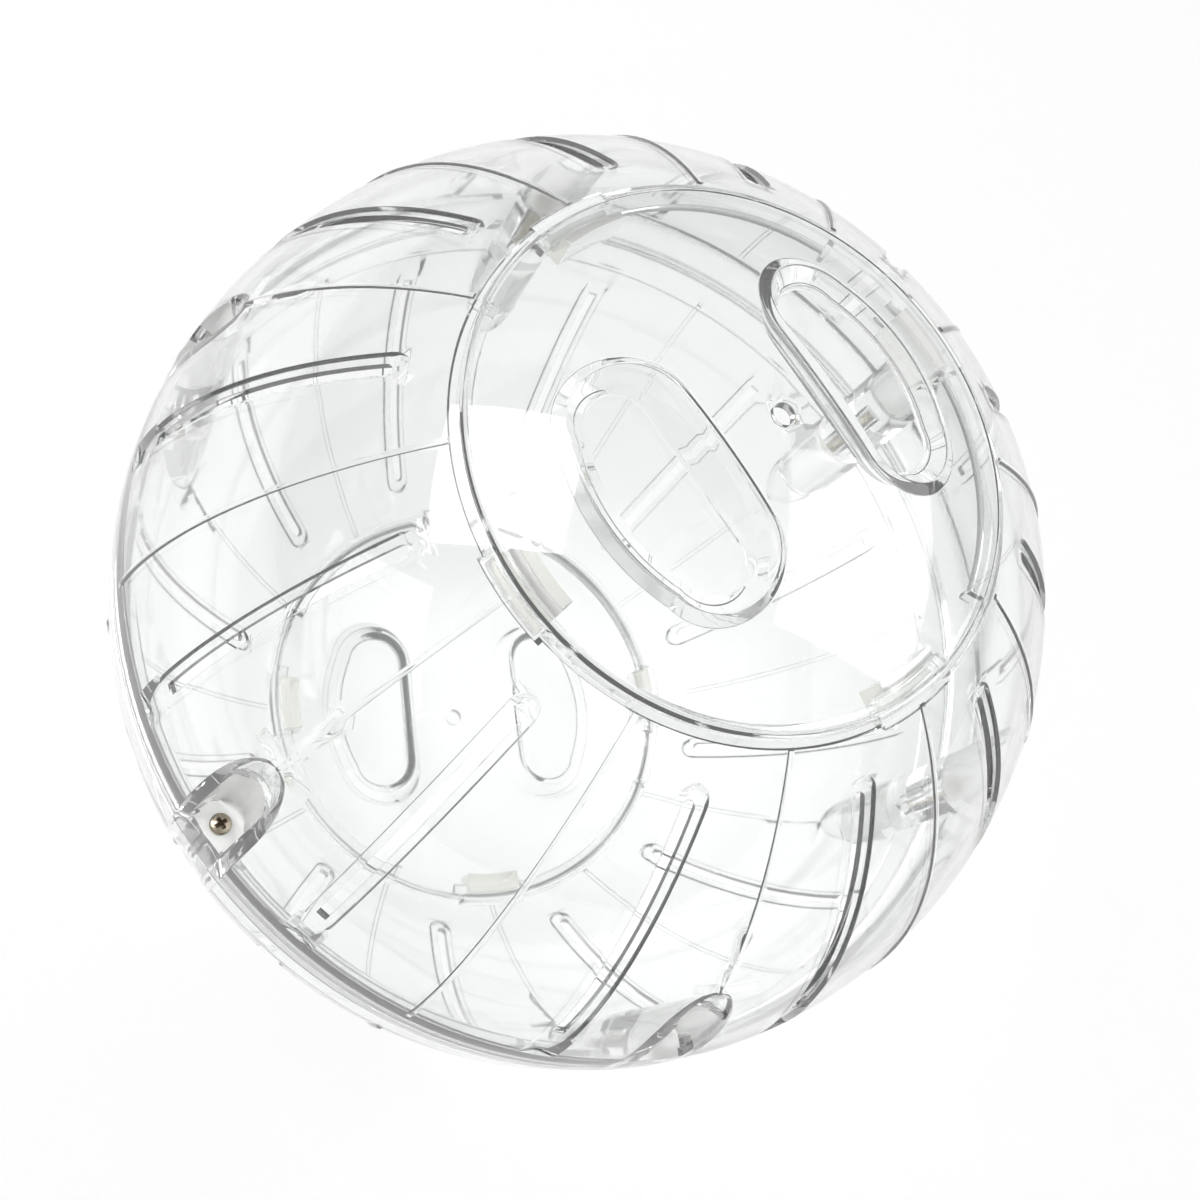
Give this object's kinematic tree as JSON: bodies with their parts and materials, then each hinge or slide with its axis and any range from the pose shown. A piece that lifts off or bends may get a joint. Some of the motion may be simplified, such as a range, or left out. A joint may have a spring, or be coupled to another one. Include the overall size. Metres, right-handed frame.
{
  "type": "hamster ball",
  "caption": "Clear vented exercise ball for a hamster: two shells screwed together at the seam, with a twist-off domed lid at each end.",
  "frame": {"origin": "centre of the ball, on the seam plane", "axes": "+Z out through the front lid's pole hole, +X through the pocket of screw 1, seam in the XY plane"},
  "size_m": [0.2, 0.2, 0.1998],
  "materials": {
    "shell": "clear polished polystyrene",
    "lid": "clear polished polystyrene with frosted clips",
    "screw": "nickel plated steel"
  },
  "bodies": {
    "ball": {"front_shell": "shell", "back_shell": "shell", "screw_1": "screw", "screw_2": "screw", "screw_3": "screw", "screw_4": "screw", "screw_5": "screw", "screw_6": "screw"},
    "front_lid": {"front_lid": "lid"},
    "back_lid": {"back_lid": "lid"}
  },
  "joints": [
    {"name": "front_lid_twist", "type": "hinge", "parent": "ball", "child": "front_lid", "pos_m": [0, 0, 0.085], "axis": [0, 0, 1], "range_deg": [0, 20]},
    {"name": "back_lid_twist", "type": "hinge", "parent": "ball", "child": "back_lid", "pos_m": [0, 0, -0.085], "axis": [0, 0, -1], "range_deg": [0, 20]}
  ]
}
